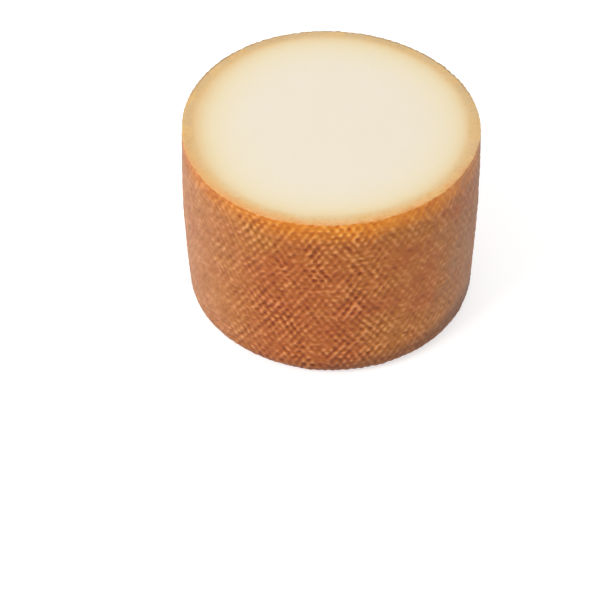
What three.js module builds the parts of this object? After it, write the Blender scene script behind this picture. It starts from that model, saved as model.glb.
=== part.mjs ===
// A small drum-shaped mountain cheese whose top has been sliced off flat.
// It is one natural piece: the rind grew on the paste, so both are one solid.
// Millimetres, +Z up. The cheese stands on its flat base, with the origin in the middle of
// the base, and the side that is seen first faces -Y.
import * as THREE from 'three';

// Overall size
const cutDiameter = 110; // across the cut face, from rind to rind
const cutHeight = 77; // from the base up to the middle of the cut

// Shape of the wall
const wallBulge = 0.9; // how far the wall stands out at half height
const baseRounding = 4.7; // radius of the rounded edge between base and wall

// Unevenness left by the mould and the knife
const cutOval = 0.72; // the cut reaches this much further front to back, and less side to side
const cutTrefoil = 0.43; // height of the three low swellings around the cut
const baseOval = 0.26; // the base reaches this much further along its long direction
const baseOvalTurn = THREE.MathUtils.degToRad(-29); // that long direction, counted from +X
const knifeDrop = 0.58; // how much lower the cut lies at its +X edge than in its middle

// Fineness of the facets
const sidesAround = 96;
const stepsUpWall = 12;
const stepsInRounding = 6;

const cutRadius = cutDiameter / 2;

function wallRadius(rise) {
  const share = rise / cutHeight;
  return cutRadius + wallBulge * 4 * share * (1 - share);
}

function drumProfile() {
  const points = [new THREE.Vector2(0, 0)];
  for (let step = 0; step <= stepsInRounding; step += 1) {
    const turn = (step / stepsInRounding) * (Math.PI / 2);
    const rise = baseRounding * (1 - Math.cos(turn));
    const inset = baseRounding * (1 - Math.sin(turn));
    points.push(new THREE.Vector2(wallRadius(rise) - inset, rise));
  }
  for (let step = 1; step <= stepsUpWall; step += 1) {
    const rise = baseRounding + (cutHeight - baseRounding) * (step / stepsUpWall);
    points.push(new THREE.Vector2(wallRadius(rise), rise));
  }
  points.push(new THREE.Vector2(0, cutHeight));
  return points;
}

// The ring at each height is pushed slightly out of round, and the cut plane is tipped.
// The cut's share of the unevenness fades away down the wall, so the base stays flat.
function makeUneven(geometry) {
  const places = geometry.attributes.position;
  const place = new THREE.Vector3();
  for (let index = 0; index < places.count; index += 1) {
    place.fromBufferAttribute(places, index);
    const angle = Math.atan2(place.y, place.x);
    const cutShare = (place.z / cutHeight) ** 2;
    const atCut = cutTrefoil * Math.cos(3 * angle) - cutOval * Math.cos(2 * angle);
    const atBase = baseOval * Math.cos(2 * (angle - baseOvalTurn));
    const stretch = 1 + (atCut * cutShare + atBase * (1 - cutShare)) / cutRadius;
    place.x *= stretch;
    place.y *= stretch;
    place.z -= (cutShare * knifeDrop * place.x) / cutRadius;
    places.setXYZ(index, place.x, place.y, place.z);
  }
}

function standOnOrigin(geometry) {
  geometry.computeBoundingBox();
  const middle = geometry.boundingBox.getCenter(new THREE.Vector3());
  geometry.translate(-middle.x, -middle.y, -geometry.boundingBox.min.z);
}

function cheeseWheel() {
  const geometry = new THREE.LatheGeometry(drumProfile(), sidesAround);
  geometry.rotateX(Math.PI / 2); // the lathe turns about Y, the cheese stands along Z
  makeUneven(geometry);
  standOnOrigin(geometry);
  geometry.computeVertexNormals();
  const rind = new THREE.MeshStandardMaterial({ color: 0xb0703c, roughness: 0.6, metalness: 0 });
  const mesh = new THREE.Mesh(geometry, rind);
  mesh.name = 'cheese_wheel';
  return mesh;
}

const group = new THREE.Group();
group.add(cheeseWheel());

export default group;
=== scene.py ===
"""A small drum-shaped cheese with its top sliced off flat, standing on a pale floor.

The rind carries the beads that a cloth and a mould pressed into it, as real relief. The cut
shows smooth ivory paste that turns yellow and then tan towards the rind. Lengths are metres,
+Z is up, and the front of the cheese faces -Y.
"""
import math

import bpy
import numpy as np
from mathutils import Matrix, Vector, noise


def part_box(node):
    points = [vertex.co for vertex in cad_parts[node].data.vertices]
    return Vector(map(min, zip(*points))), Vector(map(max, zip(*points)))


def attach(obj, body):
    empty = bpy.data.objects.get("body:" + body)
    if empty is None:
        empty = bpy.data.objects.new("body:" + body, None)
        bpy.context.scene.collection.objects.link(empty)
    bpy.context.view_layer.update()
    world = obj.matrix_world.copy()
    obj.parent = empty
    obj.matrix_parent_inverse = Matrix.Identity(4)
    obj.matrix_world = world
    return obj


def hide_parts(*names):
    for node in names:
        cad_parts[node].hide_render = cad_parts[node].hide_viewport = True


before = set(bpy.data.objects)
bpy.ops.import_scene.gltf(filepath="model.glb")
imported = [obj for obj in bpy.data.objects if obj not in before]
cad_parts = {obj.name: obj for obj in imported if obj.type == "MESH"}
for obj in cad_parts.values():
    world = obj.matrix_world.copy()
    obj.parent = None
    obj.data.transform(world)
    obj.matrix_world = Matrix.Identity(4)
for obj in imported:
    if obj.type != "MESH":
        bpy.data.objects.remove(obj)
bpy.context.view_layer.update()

MM = 0.001
FULL_TURN = 2 * math.pi

# ---------------------------------------------------------------- shape of the drum
# The same unevenness as in the CAD part, for a cut radius of 55 mm.
WALL_BULGE = 0.9 * MM
BASE_ROUNDING = 4.7 * MM
CUT_OVAL = 0.72 * MM
CUT_TREFOIL = 0.43 * MM
BASE_OVAL = 0.26 * MM
BASE_OVAL_TURN = math.radians(-29)
KNIFE_DROP = 0.58 * MM

LOW, HIGH = (np.array(corner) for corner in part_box("cheese_wheel"))
RADIUS = (HIGH - LOW)[1] / 2
HEIGHT = (HIGH - LOW)[2]

# The section of the rind is followed downwards from the cut edge; that distance is the trail.
WALL_LENGTH = HEIGHT - BASE_ROUNDING
ROUNDING_LENGTH = BASE_ROUNDING * math.pi / 2
BASE_START = WALL_LENGTH + ROUNDING_LENGTH

# ---------------------------------------------------------------- relief of the rind
BEAD_PITCH = 3.0 * MM  # from bead to bead round the drum
BEAD_ROW = 2.4 * MM  # from row to row down the wall; rows are staggered
BEAD_HEIGHT = 0.5 * MM  # of relief 1 over relief 0; a bold bead stands about 0.4 mm over its pits
BEADS_AROUND = round(FULL_TURN * RADIUS / BEAD_PITCH)

# Noise is listed as the lengths of its features, each with its strength.
SIDEWAYS_WANDER = [(26 * MM, 0.35), (6 * MM, 0.20), (2.4 * MM, 0.12)]  # of the beads, in pitches
DOWNWARD_WANDER = [(30 * MM, 0.35), (6 * MM, 0.25), (2.4 * MM, 0.15)]  # of the beads, in rows
CRUMPLE = [(3.0 * MM, 0.5), (1.6 * MM, 0.45)]  # of the rind between and on the beads
SOFT_CRUMPLE = [(6 * MM, 0.5)]  # more of it where the print is faint
WEAR = [(20 * MM, 1.0), (8 * MM, 0.6)]  # of the print, where it is rubbed fainter
SIDE_WANDER = [(18 * MM, 10 * MM)]  # of the borders between faint and bold print
SWELLING = [(24 * MM, 0.22 * MM), (9 * MM, 0.10 * MM)]  # of the whole rind
BASE_DENTS = [(6 * MM, 0.12 * MM)]
KNIFE_MARKS = [(22 * MM, 0.06 * MM), (6 * MM, 0.02 * MM)]
NICKS = [(2.2 * MM, 1.6)]  # in the cut's edge
NICK_RANGE = (-0.8, 1.6)  # the shallowest and the deepest nick, over the edge's usual drop

DIAGONAL_RIDGE = 0.95  # how bold each family of diagonal ridges is
DIAGONAL_CHANGE = [(6 * MM, 1.2)]  # and how that varies
LEVEL_RIDGE = 0.15  # the same for the ridges along the rows
LEVEL_CHANGE = [(6 * MM, 1.4)]
STROKE_LEAN = 0.45  # the falling diagonal is this much bolder at the right, the rising one at the left
RIDGE_SHARE = 0.24  # what one family of ridges adds to the relief at full boldness
CRUMPLE_SQUASH = 1.5  # crumples are this much lower than long
CRUMPLE_DIP = 0.7  # and they dip towards the front
CRUMPLE_FAINT = 0.3  # their strength without a print
CRUMPLE_BOLD = 0.45  # and what a full print adds to it

SOFT_SIDE = (-46 * MM, -24 * MM)  # along X, where the print grows from faint to bold
FADING_SIDE = (0 * MM, 30 * MM)  # and where it weakens again
FADING_LOSS = 0.68  # by this share
FAR_SIDE = (0 * MM, 28 * MM)  # along Y, where it is bold again behind
FAR_FIRMNESS = 0.75
FAINT_PRINT = 0.20  # boldness where the mould hardly pressed
FIRM_PRINT = 0.72  # what a firm press adds to it
WORN_PLACES = (-0.3, 0.4)  # values of the wear's noise, from sound to worn
WEAR_LOSS = 0.4  # share of the boldness that is lost where it is worn
EDGE_PRINT = 0.7  # share of the boldness that the print keeps at the cut
BELOW_CUT = (0 * MM, 5 * MM)  # by trail, where the print reaches full depth under the cut
BEADS_FADE = (BASE_START - 2 * MM, BASE_START + 9 * MM)  # by trail, where the beads die out
FADE_LOSS = 0.85  # share of the boldness that is lost under the base
FLAT_UNDER = (BASE_START - 3 * MM, BASE_START)  # by trail, where the underside is pulled in
BASE_HOLLOW = 0.25 * MM  # how far it is pulled in, so that it stands on its lowest spots

# ---------------------------------------------------------------- fineness of the mesh
SIDES = 600  # columns round the drum, divisible by 8 for the caps and by 3 for the UV strips
WALL_STEP = 0.6 * MM
ROUNDING_STEP = 0.8 * MM
CUT_EDGE_DROP = 0.16 * MM  # the knife leaves the very edge of the cut slightly rounded
EDGE_BAND = 0.9 * MM  # how far in from the edge that reaches
# Rings of the cut face: distance inside the edge in mm, and columns
CUT_RINGS = [(0.35, 600), (1.0, 600), (2.0, 300), (3.5, 300), (5.5, 150), (8, 150), (11, 150),
             (15, 150), (20, 150), (26, 75), (33, 75), (40, 75), (47, 75)]
# Rings of the underside: distance in from where the rounding ends in mm, and columns
BASE_RINGS = [(0.9, 600), (1.8, 300), (2.8, 300), (3.8, 300), (4.8, 300), (6, 300), (7.2, 300),
              (8.5, 300), (10, 300), (12, 150), (15, 150), (18, 150), (22, 150), (27, 150),
              (32, 75), (38, 75), (44, 75)]


def smooth_step(start, end, value):
    """0 below start, 1 above end and smooth between, for numbers and arrays."""
    share = np.clip((value - start) / (end - start), 0, 1)
    return share * share * (3 - 2 * share)


def drift(places, layers, seed):
    """Smooth noise at each place, summed over its layers of (feature length, strength).

    Each seed is another piece of noise, and a list of layers takes the seeds that follow it too.
    """
    total = np.zeros(len(places))
    for turn, (feature, strength) in enumerate(layers, seed):
        shift = Vector((turn * 17.3, turn * 9.1, turn * 5.7))
        total += [strength * noise.noise(Vector(place) / feature + shift) for place in places]
    return total


class Rings:
    """The rings of vertices, from the middle of the cut, out over its edge and down to the base.

    inset is how far a ring lies inside the cut's edge, and trail how far down from that edge.
    """

    def __init__(self):
        rings = [(inset * MM, 0.0, columns) for inset, columns in reversed(CUT_RINGS)]
        rings.append((0.0, 0.0, SIDES))
        steps = round(WALL_LENGTH / WALL_STEP)
        rings += [(0.0, WALL_LENGTH * step / steps, SIDES) for step in range(1, steps + 1)]
        steps = round(ROUNDING_LENGTH / ROUNDING_STEP)
        rings += [(0.0, WALL_LENGTH + ROUNDING_LENGTH * step / steps, SIDES)
                  for step in range(1, steps + 1)]
        rings += [(0.0, BASE_START + inset * MM, columns) for inset, columns in BASE_RINGS]
        self.edge = len(CUT_RINGS) + 1  # the ring that is the cut's edge
        self.columns = [1] + [columns for _, _, columns in rings] + [1]
        self.inset = [RADIUS] + [inset for inset, _, _ in rings] + [0.0]
        self.trail = [0.0] + [trail for _, trail, _ in rings] + [BASE_START + RADIUS - BASE_ROUNDING]
        self.first = np.concatenate([[0], np.cumsum(self.columns)])

    def spread(self, per_ring):
        """One value per ring as one value per vertex."""
        return np.repeat(np.array(per_ring, float), self.columns)

    def angles(self):
        return np.concatenate([FULL_TURN * np.arange(n) / n for n in self.columns])

    def faces(self):
        """Faces as corners of (ring, column); a column isn't wrapped, so that UVs can follow it.

        n and m count the columns of the inner and the outer ring. They are the same, or one is
        twice the other, or one ring is the single vertex in the middle of the cut or the base.
        """
        made = []
        for inner, (n, m) in enumerate(zip(self.columns, self.columns[1:])):
            outer = inner + 1
            if n == 1:
                made += [[(outer, i), (outer, i + 1), (inner, 0)] for i in range(m)]
            elif m == 1:
                made += [[(outer, 0), (inner, i + 1), (inner, i)] for i in range(n)]
            elif n == m:
                made += [[(outer, i), (outer, i + 1), (inner, i + 1), (inner, i)] for i in range(n)]
            elif m == 2 * n:
                for i in range(n):
                    made += [[(outer, 2 * i), (outer, 2 * i + 1), (inner, i)],
                             [(outer, 2 * i + 1), (inner, i + 1), (inner, i)],
                             [(outer, 2 * i + 1), (outer, 2 * i + 2), (inner, i + 1)]]
            else:
                for i in range(m):
                    made += [[(outer, i), (inner, 2 * i + 1), (inner, 2 * i)],
                             [(outer, i), (outer, i + 1), (inner, 2 * i + 1)],
                             [(outer, i + 1), (inner, 2 * i + 2), (inner, 2 * i + 1)]]
        return made


def drum_form(angle, inset, trail):
    """The smooth drum: each vertex's place and the direction that faces out of it."""
    turn = np.clip((trail - WALL_LENGTH) / BASE_ROUNDING, 0, math.pi / 2)
    rise = np.where(turn > 0, BASE_ROUNDING * (1 - np.sin(turn)), HEIGHT - trail)
    share = rise / HEIGHT
    radius = RADIUS + WALL_BULGE * 4 * share * (1 - share) - BASE_ROUNDING * (1 - np.cos(turn))
    radius -= inset + np.clip(trail - BASE_START, 0, None)

    cut_share = share ** 2
    at_cut = CUT_TREFOIL * np.cos(3 * angle) - CUT_OVAL * np.cos(2 * angle)
    at_base = BASE_OVAL * np.cos(2 * (angle - BASE_OVAL_TURN))
    radius *= 1 + (at_cut * cut_share + at_base * (1 - cut_share)) / RADIUS

    x, y = radius * np.cos(angle), radius * np.sin(angle)
    places = np.stack([x, y, rise - cut_share * KNIFE_DROP * x / RADIUS], 1)
    outward = np.stack([np.cos(angle) * np.cos(turn), np.sin(angle) * np.cos(turn),
                        -np.sin(turn)], 1)
    outward[inset > 0] = (0, 0, 1)

    span = places.max(0) - places.min(0)
    places *= (HIGH - LOW) / span
    return places + LOW - places.min(0), outward


def print_firmness(places):
    """How firmly the mould pressed there, from 0 to 1."""
    side = places[:, 0] + drift(places, SIDE_WANDER, seed=19)
    firm = smooth_step(*SOFT_SIDE, side) * (1 - FADING_LOSS * smooth_step(*FADING_SIDE, side))
    return np.maximum(firm, FAR_FIRMNESS * smooth_step(*FAR_SIDE, places[:, 1]))


def bead_relief(places, angle, trail):
    """The cloth's print: about 0 in the pits and 1 on the beads, in staggered rows.

    Three families of ridges cross there, two along the diagonals and one along the rows. Where
    one of them is bolder, the beads join up into short strokes that way.
    """
    across = BEADS_AROUND * angle / FULL_TURN + drift(places, SIDEWAYS_WANDER, seed=1)
    down = trail / BEAD_ROW + drift(places, DOWNWARD_WANDER, seed=4)
    lean = STROKE_LEAN * places[:, 0] / RADIUS
    falling = DIAGONAL_RIDGE + lean + drift(places, DIAGONAL_CHANGE, seed=7)
    rising = DIAGONAL_RIDGE - lean + drift(places, DIAGONAL_CHANGE, seed=8)
    level = LEVEL_RIDGE + drift(places, LEVEL_CHANGE, seed=18)
    ridges = falling * np.cos(FULL_TURN * (across - down / 2))
    ridges += rising * np.cos(FULL_TURN * (across + down / 2))
    ridges += level * np.cos(FULL_TURN * down)

    firm = print_firmness(places)
    worn = smooth_step(*WORN_PLACES, drift(places, WEAR, seed=9))
    boldness = (FAINT_PRINT + FIRM_PRINT * firm) * (1 - WEAR_LOSS * worn)
    boldness *= EDGE_PRINT + (1 - EDGE_PRINT) * smooth_step(*BELOW_CUT, trail)
    boldness *= 1 - FADE_LOSS * smooth_step(*BEADS_FADE, trail)

    squashed = places * (1, 1, CRUMPLE_SQUASH)
    squashed[:, 2] += CRUMPLE_DIP * places[:, 1]
    crumple = drift(squashed, CRUMPLE, seed=11)
    crumple += drift(squashed, SOFT_CRUMPLE, seed=13) * (1 - firm)
    crumple *= CRUMPLE_FAINT + CRUMPLE_BOLD * boldness
    return 0.5 + RIDGE_SHARE * ridges * boldness + crumple


def cheese_mesh():
    """The drum with its relief, its two materials' faces and the values that they read."""
    rings = Rings()
    angle, inset, trail = rings.angles(), rings.spread(rings.inset), rings.spread(rings.trail)
    places, outward = drum_form(angle, inset, trail)

    relief = bead_relief(places, angle, trail)
    stand_out = BEAD_HEIGHT * (relief - 0.5) + drift(places, SWELLING, seed=11)
    under = BASE_HOLLOW + np.abs(drift(places, BASE_DENTS, seed=14))
    stand_out -= under * smooth_step(*FLAT_UNDER, trail)
    stand_out = np.where(inset == 0, stand_out, drift(places, KNIFE_MARKS, seed=15))
    nicks = CUT_EDGE_DROP * (1 + np.clip(drift(places, NICKS, seed=17), *NICK_RANGE))
    nicks *= (1 - smooth_step(0, EDGE_BAND, inset)) * (trail == 0)
    places += outward * stand_out[:, None]
    places[:, 2] -= nicks
    places[:, 2] = np.maximum(places[:, 2], LOW[2])

    corners = rings.faces()
    columns = np.array(rings.columns)
    faces = [[int(rings.first[ring] + column % columns[ring]) for ring, column in face]
             for face in corners]
    mesh = bpy.data.meshes.new("cheese")
    mesh.from_pydata(places.tolist(), [], faces)
    mesh.update(calc_edges=True)
    mesh.polygons.foreach_set("use_smooth", [True] * len(faces))
    mesh.polygons.foreach_set("material_index", [int(face[-1][0] < rings.edge) for face in corners])

    for name, values in (("relief", relief), ("trail_mm", trail / MM), ("inset_mm", inset / MM)):
        mesh.attributes.new(name, "FLOAT", "POINT").data.foreach_set("value", values)
    sharpen_edge(mesh, rings)
    lay_out_uvs(mesh, rings, corners)
    return mesh


def sharpen_edge(mesh, rings):
    """The knife's edge stays crisp in the shading."""
    ends = np.empty(len(mesh.edges) * 2, int)
    mesh.edges.foreach_get("vertices", ends)
    start, end = rings.first[rings.edge], rings.first[rings.edge + 1]
    on_edge = ((ends >= start) & (ends < end)).reshape(-1, 2).all(1)
    mesh.edges.foreach_set("use_edge_sharp", on_edge)


def lay_out_uvs(mesh, rings, corners):
    """The wall as three strips, one above the other, and the cut and the base as discs beside them."""
    gap = 2 * MM
    strips = 3
    strip_width = FULL_TURN * RADIUS / strips
    wrap = WALL_LENGTH + ROUNDING_LENGTH / 2  # the strips reach halfway round the rounding
    disc = RADIUS + MM
    side = max(strips * (wrap + gap), strip_width + 2 * disc + 2 * gap) + gap
    disc_x = gap + strip_width + gap + disc
    spots = []
    for face in corners:
        inner_ring = face[-1][0]
        for ring, column in face:
            share = column / rings.columns[ring]
            if inner_ring < rings.edge:
                reach, centre = RADIUS - rings.inset[ring], gap + disc
            elif rings.trail[inner_ring] >= wrap:
                reach = BASE_START + RADIUS - BASE_ROUNDING - rings.trail[ring]
                centre = 2 * gap + 3 * disc
            else:
                strip = face[-1][1] * strips // SIDES
                spots += [gap + (share * strips - strip) * strip_width,
                          gap + strip * (wrap + gap) + wrap - rings.trail[ring]]
                continue
            spots += [disc_x + reach * math.cos(FULL_TURN * share),
                      centre + reach * math.sin(FULL_TURN * share)]
    mesh.uv_layers.new(name="OFBake").uv.foreach_set("vector", np.array(spots) / side)


# ---------------------------------------------------------------- materials
# Tones are red, green and blue from 0 to 255. The rind has one for the pits of the cloth's
# print, one for halfway up and one for the tops of its beads; the dark pits and pale tops are
# partly the rind's own colour and partly painted shade and painted highlight.
BROWN = [(126, 54, 0), (162, 86, 20), (206, 134, 74)]
TAN = [(132, 68, 0), (166, 98, 26), (208, 142, 80)]
RED = [(118, 42, 0), (158, 76, 18), (202, 122, 66)]
FRESH = [(180, 86, 0), (208, 122, 10), (238, 164, 64)]
# The pale pinkish tan below is partly the rind's own pale bloom and partly painted sheen and light on
# the left side, which faces the lamp.
DUSTY_AND_SHEEN = [(136, 82, 40), (170, 112, 70), (212, 156, 116)]
GREY_AND_SHADE = (128, 96, 72)  # at the right: partly the rind's greyer tone, partly painted shade on the side away from the lamp
FOOT_SHADE = (88, 52, 28)  # painted shade low down, where the wall rounds under towards the floor
RIM_HIGHLIGHT = (236, 168, 98)  # painted highlight: pale specks right under the cut, along its edge

# Where the rind's tones lie: each span runs from where a tone starts to where it is full. These
# are values of the noise, from 0 to 1.
TAN_PATCHES = (0.38, 0.62)
RED_PATCHES = (0.48, 0.7)
TAN_MOTTLE = (0.42, 0.7)
RIM_HIGHLIGHT_SPECKS = (0.35, 0.6)
# These are in mm along X, where the tone comes in or, for those named until, goes out.
RED_AND_SHADE_FROM = (-44.0, -22.0)
GREY_AND_SHADE_FROM = (33.0, 59.0)
RED_AND_SHADE_UNTIL = (2.0, 26.0)
DUSTY_AND_SHEEN_UNTIL = (-56.0, -20.0)
FRESH_SHADED_UNTIL = (-40.0, 15.0)
# These are in mm of trail, downwards; fresh and the rim's painted highlight go out along theirs.
RED_AND_SHADE_DOWN = (12.0, 26.0)
FRESH_DOWN = (0.5, 11.0)
DUSTY_AND_SHEEN_DOWN = (2.0, 12.0)
RIM_HIGHLIGHT_DOWN = (0.0, 0.8)
FOOT_SHADE_DOWN = (66.0, 76.0)
FOOT_SHADE_SLOPE = 0.1  # the painted shade at the foot reaches this much higher for each mm to the right
# How much of each tone there is where it is full.
RED_SHARE = 0.5
RED_AND_SHADE_SHARE = 0.7
TAN_SHARE = 0.3
FRESH_SHADED_SHARE = 0.45
DUSTY_AND_SHEEN_SHARE = 0.2
DUSTY_AND_SHEEN_DOWN_SHARE = 0.4
RIM_HIGHLIGHT_SHARE = 0.55
GREY_AND_SHADE_SHARE = 0.6
FOOT_SHADE_SHARE = 0.6
# Heights of the print over which the pits' tone turns into the next, and that into the beads'.
PIT_TO_HALFWAY = (0.0, 0.55)
HALFWAY_TO_TOP = (0.45, 1.05)

# The paste has a tone for each distance in from the rind, in mm.
PASTE_TONES = [(0.0, (214, 140, 66)), (0.5, (228, 160, 86)), (1.2, (236, 176, 104)),
               (2.2, (234, 186, 121)), (3.2, (232, 194, 136)), (4.4, (234, 204, 152)),
               (6.0, (238, 216, 171)), (8.0, (240, 223, 184)), (11.0, (241, 227, 195)),
               (16.0, (241, 229, 204)), (24.0, (241, 230, 209))]
PASTE_SHADE = (208, 180, 130)  # near the rind behind
PASTE_GOLD = (232, 188, 116)  # in patches near the rind, and more at the left
PASTE_CRUMB = (210, 154, 86)  # in crumbs near the rind
PASTE_CLOUD = (238, 222, 190)  # faintly, all over
PASTE_AMBER = (228, 150, 66)  # along the front left of the edge
RIND_LINE = (160, 126, 84)  # the rind itself, seen edge on along the far rim
CUT_LIGHT = 1.20  # the light on the cut, which the paste's tones are divided by

# Where the paste's tones lie. These are in mm along Y, where a tone comes in.
BEHIND_FROM = (-45.0, 0.0)
FAR_RIM_FROM = (2.0, 34.0)
# These are in mm along X, where it goes out.
LEFT_UNTIL = (-55.0, -15.0)
AMBER_UNTIL = (-30.0, 10.0)
# These are in mm in from the edge. The tones' wander comes in over its span, the rest go out.
WANDER_IN = (0.0, 3.0)
RAGGED_IN = (1.0, 4.5)
SHADE_IN = (1.5, 5.5)
GOLD_IN = (2.0, 6.0)
LEFT_GOLD_IN = (1.0, 6.0)
CRUMBS_IN = (2.0, 5.5)
AMBER_IN = (0.5, 3.5)
RIND_LINE_IN = (0.3, 1.1)
# These are values of the noise, from 0 to 1.
GOLD_PATCHES = (0.46, 0.6)
CRUMB_SPECKS = (0.5, 0.62)
CLOUD_PATCHES = (0.35, 0.7)
# How much of each tone there is where it is full.
SHADE_SHARE = 0.85
GOLD_SHARE = 0.55
LEFT_GOLD_SHARE = 0.2
CRUMB_SHARE = 0.3
AMBER_SHARE = 0.5
RIND_LINE_SHARE = 0.9
CLOUD_SHARE = 0.10
EDGE_DEPTH = 0.3  # in mm, how deep the very edge counts as
BEHIND_SPREAD = 0.17  # behind, depth counts as this share less, so the tones reach further in
LEFT_SPREAD = 0.22  # the same at the left


def paint(red, green, blue, light=1.0):
    """A colour seen as these 0 to 255 values under that much light, as the shader's own numbers."""
    seen = [value / 255 for value in (red, green, blue)]
    linear = [v / 12.92 if v < 0.04045 else ((v + 0.055) / 1.055) ** 2.4 for v in seen]
    return (*[value / light for value in linear], 1.0)


def swing(noise_wire, reach):
    """Noise from 0 to 1 as a shift to both sides, by half the reach at most."""
    return reach * (noise_wire - 0.5)


class Wire:
    """A socket of a node; arithmetic on wires and numbers adds the Math nodes for it."""

    def __init__(self, board, socket):
        self.board, self.socket = board, socket

    def math(self, operation, *values):
        sockets = dict(enumerate(values))
        return self.board.node("ShaderNodeMath", {"operation": operation}, sockets)

    def __add__(self, other):
        return self.math("ADD", self, other)

    def __radd__(self, other):
        return self.math("ADD", other, self)

    def __sub__(self, other):
        return self.math("SUBTRACT", self, other)

    def __rsub__(self, other):
        return self.math("SUBTRACT", other, self)

    def __mul__(self, other):
        return self.math("MULTIPLY", self, other)

    def __rmul__(self, other):
        return self.math("MULTIPLY", other, self)

    def __truediv__(self, other):
        return self.math("DIVIDE", self, other)


class Board:
    """The node tree of one material."""

    def __init__(self, name):
        self.material = bpy.data.materials.new(name)
        self.material.use_nodes = True
        self.tree = self.material.node_tree
        self.tree.nodes.clear()

    def node(self, kind, settings=None, sockets=None, out=0):
        """Adds a node: first its settings, then its sockets' values or links. Returns an output."""
        made = self.tree.nodes.new(kind)
        for name, value in (settings or {}).items():
            if name == "stops":
                self.set_stops(made.color_ramp, value)
            else:
                setattr(made, name, value)
        for name, value in (sockets or {}).items():
            if isinstance(value, Wire):
                self.tree.links.new(value.socket, made.inputs[name])
            else:
                made.inputs[name].default_value = value
        return Wire(self, made.outputs[out]) if made.outputs else None

    @staticmethod
    def set_stops(ramp, stops):
        for place, _ in stops[1:-1]:
            ramp.elements.new(place)
        for stop, (place, colour) in zip(ramp.elements, stops):
            stop.position, stop.color = place, colour

    def attribute(self, name):
        return self.node("ShaderNodeAttribute", {"attribute_name": name}, out="Fac")

    def place(self):
        return self.node("ShaderNodeTexCoord", out="Object")

    def coordinate(self, axis):
        """The place along X, Y or Z in millimetres."""
        return self.node("ShaderNodeSeparateXYZ", {}, {0: self.place()}, out=axis) / MM

    def grain(self, feature, detail=2.0, roughness=0.5, stretch=(1, 1, 1)):
        """Noise from about 0 to 1 with features of that length in metres."""
        scale = tuple(value / feature for value in stretch)
        where = self.node("ShaderNodeVectorMath", {"operation": "MULTIPLY"},
                          {0: self.place(), 1: scale})
        return self.node("ShaderNodeTexNoise", {},
                         {"Vector": where, "Scale": 1.0, "Detail": detail, "Roughness": roughness})

    def step(self, value, start, end):
        """0 to 1 as value goes from start to end, smoothly."""
        return self.node("ShaderNodeMapRange", {"interpolation_type": "SMOOTHSTEP"},
                         {"Value": value, "From Min": start, "From Max": end})

    def mix(self, factor, first, second):
        return self.node("ShaderNodeMix", {"data_type": "RGBA"}, {0: factor, 6: first, 7: second}, out=2)

    def print_tones(self, height, tones):
        """Colour by the height of the cloth's print: in the pits, halfway up and on the beads."""
        pit, middle, top = (paint(*tone) for tone in tones)
        # The dark pits and pale tops are partly painted shade in the pits and painted highlight on the
        # beads.
        lower = self.mix(self.step(height, *PIT_TO_HALFWAY), pit, middle)
        return self.mix(self.step(height, *HALFWAY_TO_TOP), lower, top)

    def finish(self, surface, bump=None, bump_height=0.0):
        """Adds the shader; surface holds its sockets, and bump is a height from 0 to 1."""
        sockets = dict(surface)
        if bump is not None:
            sockets["Normal"] = self.node("ShaderNodeBump", {},
                                          {"Height": bump, "Distance": bump_height, "Strength": 1.0})
        shader = self.node("ShaderNodeBsdfPrincipled", {}, sockets)
        self.node("ShaderNodeOutputMaterial", {}, {"Surface": shader})
        return self.material


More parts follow.
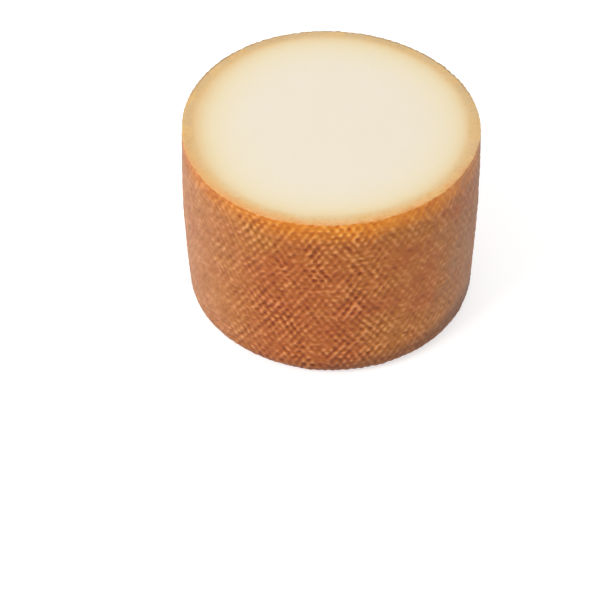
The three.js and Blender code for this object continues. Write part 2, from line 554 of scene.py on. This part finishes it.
def rind_colour(board, trail, height, patches, mottle, speck):
    """Brown, tan and red patches, with fresher orange close under the cut."""
    across = board.coordinate("X")
    brown, tan, red, fresh, dusty_and_sheen = (board.print_tones(height, tones)
                                     for tones in (BROWN, TAN, RED, FRESH, DUSTY_AND_SHEEN))
    colour = board.mix(board.step(patches, *TAN_PATCHES), brown, tan)
    # Lower in the middle of the wall the rind is redder and darker: partly its own reddish tone, partly
    # painted shade.
    middle = board.step(across, *RED_AND_SHADE_FROM) * (1 - board.step(across, *RED_AND_SHADE_UNTIL))
    reddish = RED_SHARE * board.step(board.grain(16 * MM, 2, 0.5, (1, 1, 1.4)), *RED_PATCHES)
    reddish += RED_AND_SHADE_SHARE * middle * board.step(trail + swing(patches, 8), *RED_AND_SHADE_DOWN)
    colour = board.mix(reddish, colour, red)
    colour = board.mix(TAN_SHARE * board.step(mottle, *TAN_MOTTLE), colour, tan)

    # Painted shade: the fresh band is darkened towards the left, where the lamp falls brightest.
    fresh_shade = FRESH_SHADED_SHARE * (1 - board.step(across, *FRESH_SHADED_UNTIL))
    fresh = board.mix(fresh_shade, fresh, brown)
    below = trail + swing(mottle, 6) + swing(patches, 4)
    colour = board.mix(1 - board.step(below, *FRESH_DOWN), colour, fresh)
    # Painted sheen and light, partly the rind's own pale bloom: the left side is paler and pinker.
    dusty_and_sheen_side = 1 - board.step(across + swing(patches, 16), *DUSTY_AND_SHEEN_UNTIL)
    dusty_and_sheen_side *= DUSTY_AND_SHEEN_SHARE + DUSTY_AND_SHEEN_DOWN_SHARE * board.step(below, *DUSTY_AND_SHEEN_DOWN)
    colour = board.mix(dusty_and_sheen_side, colour, dusty_and_sheen)
    # Painted highlight: pale specks along the rind right under the cut's edge.
    rim_highlight = (1 - board.step(trail + swing(mottle, 1.5), *RIM_HIGHLIGHT_DOWN)) * board.step(speck, *RIM_HIGHLIGHT_SPECKS)
    colour = board.mix(RIM_HIGHLIGHT_SHARE * rim_highlight, colour, paint(*RIM_HIGHLIGHT))

    # Partly the rind's greyer tone, partly painted shade: the right side is darker and greyer.
    grey_and_shaded_side = board.step(across + swing(patches, 24) + swing(mottle, 16), *GREY_AND_SHADE_FROM)
    colour = board.mix(GREY_AND_SHADE_SHARE * grey_and_shaded_side, colour, paint(*GREY_AND_SHADE))
    # Painted shade: the rind darkens low down towards the floor, reaching higher at the right.
    foot_shade = board.step(trail + swing(mottle, 3) + FOOT_SHADE_SLOPE * across, *FOOT_SHADE_DOWN)
    return board.mix(FOOT_SHADE_SHARE * foot_shade, colour, paint(*FOOT_SHADE))


def washed_rind():
    """Orange-brown rind with pale bead tops and dark pits, slightly greasy."""
    board = Board("washed_rind")
    relief = board.attribute("relief")
    patches = board.grain(26 * MM, 2, 0.5)
    mottle = board.grain(6 * MM, 3, 0.6, (1, 1, 1.6))
    speck = board.grain(1.1 * MM, 2, 0.6, (1, 1, 1.6))
    height = relief + swing(speck, 0.35)
    colour = rind_colour(board, board.attribute("trail_mm"), height, patches, mottle, speck)
    rough = 0.58 - 0.10 * relief + swing(speck, 0.2)
    bump = relief + 0.35 * board.grain(0.5 * MM, 3, 0.6) + 0.25 * board.grain(1.3 * MM, 2, 0.5)
    return board.finish({"Base Color": colour, "Roughness": rough, "Specular IOR Level": 0.28,
                         "Subsurface Weight": 0.08, "Subsurface Scale": 1.0,
                         "Subsurface Radius": (3.0 * MM, 1.5 * MM, 0.7 * MM)},
                        bump, 0.22 * MM)


def paste_colour(board):
    """Ivory in the middle, turning yellow and then tan where the paste nears the rind."""
    inset = board.attribute("inset_mm")
    behind = board.step(board.coordinate("Y"), *BEHIND_FROM)
    left = 1 - board.step(board.coordinate("X"), *LEFT_UNTIL)
    wander = swing(board.grain(11 * MM, 2, 0.5), 1.6) * board.step(inset, *WANDER_IN)
    ragged = swing(board.grain(2.2 * MM, 2, 0.5), 3.5) * (1 - board.step(inset, *RAGGED_IN))
    depth = inset + EDGE_DEPTH + wander + ragged
    depth = depth * (1 - BEHIND_SPREAD * behind) * (1 - LEFT_SPREAD * left)
    reach = PASTE_TONES[-1][0]
    stops = [(inset_mm / reach, paint(*tone, light=CUT_LIGHT)) for inset_mm, tone in PASTE_TONES]
    colour = board.node("ShaderNodeValToRGB", {"stops": stops}, {"Fac": depth / reach})

    shade = SHADE_SHARE * behind * (1 - board.step(inset, *SHADE_IN))
    gold = GOLD_SHARE * board.step(board.grain(9 * MM, 2, 0.5), *GOLD_PATCHES)
    gold *= 1 - board.step(inset, *GOLD_IN)
    gold += LEFT_GOLD_SHARE * left * (1 - board.step(inset, *LEFT_GOLD_IN))
    crumbs = CRUMB_SHARE * board.step(board.grain(1.6 * MM, 2, 0.5), *CRUMB_SPECKS)
    crumbs *= 1 - board.step(inset, *CRUMBS_IN)
    amber = AMBER_SHARE * (1 - board.step(board.coordinate("X"), *AMBER_UNTIL)) * (1 - behind)
    amber *= 1 - board.step(inset, *AMBER_IN)
    far_rim = board.step(board.coordinate("Y"), *FAR_RIM_FROM)
    rind_line = RIND_LINE_SHARE * far_rim * (1 - board.step(inset, *RIND_LINE_IN))
    clouds = CLOUD_SHARE * board.step(board.grain(14 * MM, 3, 0.5), *CLOUD_PATCHES)
    for factor, tone in ((shade, PASTE_SHADE), (gold, PASTE_GOLD), (crumbs, PASTE_CRUMB),
                         (amber, PASTE_AMBER), (rind_line, RIND_LINE), (clouds, PASTE_CLOUD)):
        colour = board.mix(factor, colour, paint(*tone, light=CUT_LIGHT))
    return colour


def ivory_paste():
    """The cut face, smooth but for the faint marks of the knife."""
    board = Board("ivory_paste")
    knife_marks = board.grain(1.6 * MM, 3, 0.5) + 0.5 * board.grain(5 * MM, 2, 0.5, (1, 0.25, 1))
    return board.finish({"Base Color": paste_colour(board), "Roughness": 0.48, "IOR": 1.42,
                         "Subsurface Weight": 0.25, "Subsurface Scale": 1.0,
                         "Subsurface Radius": (4.0 * MM, 3.0 * MM, 1.8 * MM)},
                        knife_marks, 0.03 * MM)


def plain_floor_paint():
    """A pale table lit from below, so that the shadow on it stays faint."""
    board = Board("floor_paint")
    return board.finish({"Base Color": (0.55, 0.55, 0.55, 1), "Roughness": 0.9,
                         "Specular IOR Level": 0.2,
                         "Emission Color": (1, 1, 1, 1), "Emission Strength": 0.60})


# ---------------------------------------------------------------- the pieces
def new_object(name, mesh, *materials):
    for material in materials:
        mesh.materials.append(material)
    made = bpy.data.objects.new(name, mesh)
    bpy.context.scene.collection.objects.link(made)
    return made


def make_cheese():
    cheese = new_object("cheese", cheese_mesh(), washed_rind(), ivory_paste())
    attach(cheese, "root")
    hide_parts("cheese_wheel")


def make_floor():
    reach = 4.0  # from the middle to each side
    mesh = bpy.data.meshes.new("floor")
    corners = [(-reach, -reach, 0), (reach, -reach, 0), (reach, reach, 0), (-reach, reach, 0)]
    mesh.from_pydata(corners, [], [(0, 1, 2, 3)])
    new_object("floor", mesh, plain_floor_paint())


# ---------------------------------------------------------------- light and camera
def softbox(name, azimuth, elevation, distance, size, power):
    """A square area light that faces the cheese; azimuth 0 is in front and 90 at its right."""
    turn, lift = math.radians(azimuth), math.radians(elevation)
    back = Vector((math.sin(turn) * math.cos(lift), -math.cos(turn) * math.cos(lift), math.sin(lift)))
    lamp = bpy.data.lights.new(name, "AREA")
    lamp.shape, lamp.size, lamp.energy = "SQUARE", size, power
    box = bpy.data.objects.new(name, lamp)
    box.location = back * distance + Vector((0, 0, HEIGHT / 2))
    box.rotation_euler = back.to_track_quat("Z", "Y").to_euler()
    bpy.context.scene.collection.objects.link(box)


def light_the_studio():
    world = bpy.data.worlds.new("white_studio")
    world.use_nodes = True
    walls = world.node_tree.nodes["Background"]
    walls.inputs["Color"].default_value = (1, 1, 1, 1)
    walls.inputs["Strength"].default_value = 0.70
    bpy.context.scene.world = world
    softbox("window", azimuth=-55, elevation=42, distance=1.6, size=0.6, power=14)
    softbox("fill", azimuth=165, elevation=50, distance=1.6, size=1.2, power=5)
    bpy.context.scene.view_settings.view_transform = "Standard"


def aim_camera():
    """Down at the drum from the front; it aims past the drum, which sits upper right of centre."""
    elevation = math.radians(41.916)
    distance = 0.6223
    past_pitch, past_yaw, roll = (math.radians(turn) for turn in (-3.497, 1.063, -0.058))
    lens = bpy.data.cameras.new("camera")
    lens.sensor_width = 36
    lens.lens = 97.7
    camera = bpy.data.objects.new("camera", lens)
    back = Vector((0, -math.cos(elevation), math.sin(elevation)))
    turns = (Matrix.Rotation(math.radians(90) - elevation + past_pitch, 4, "X")
             @ Matrix.Rotation(past_yaw, 4, "Y") @ Matrix.Rotation(roll, 4, "Z"))
    middle = Vector((0, 0, (HEIGHT - KNIFE_DROP) / 2))
    camera.matrix_world = Matrix.Translation(middle + back * distance) @ turns
    bpy.context.scene.collection.objects.link(camera)
    bpy.context.scene.camera = camera


make_cheese()
make_floor()
light_the_studio()
aim_camera()
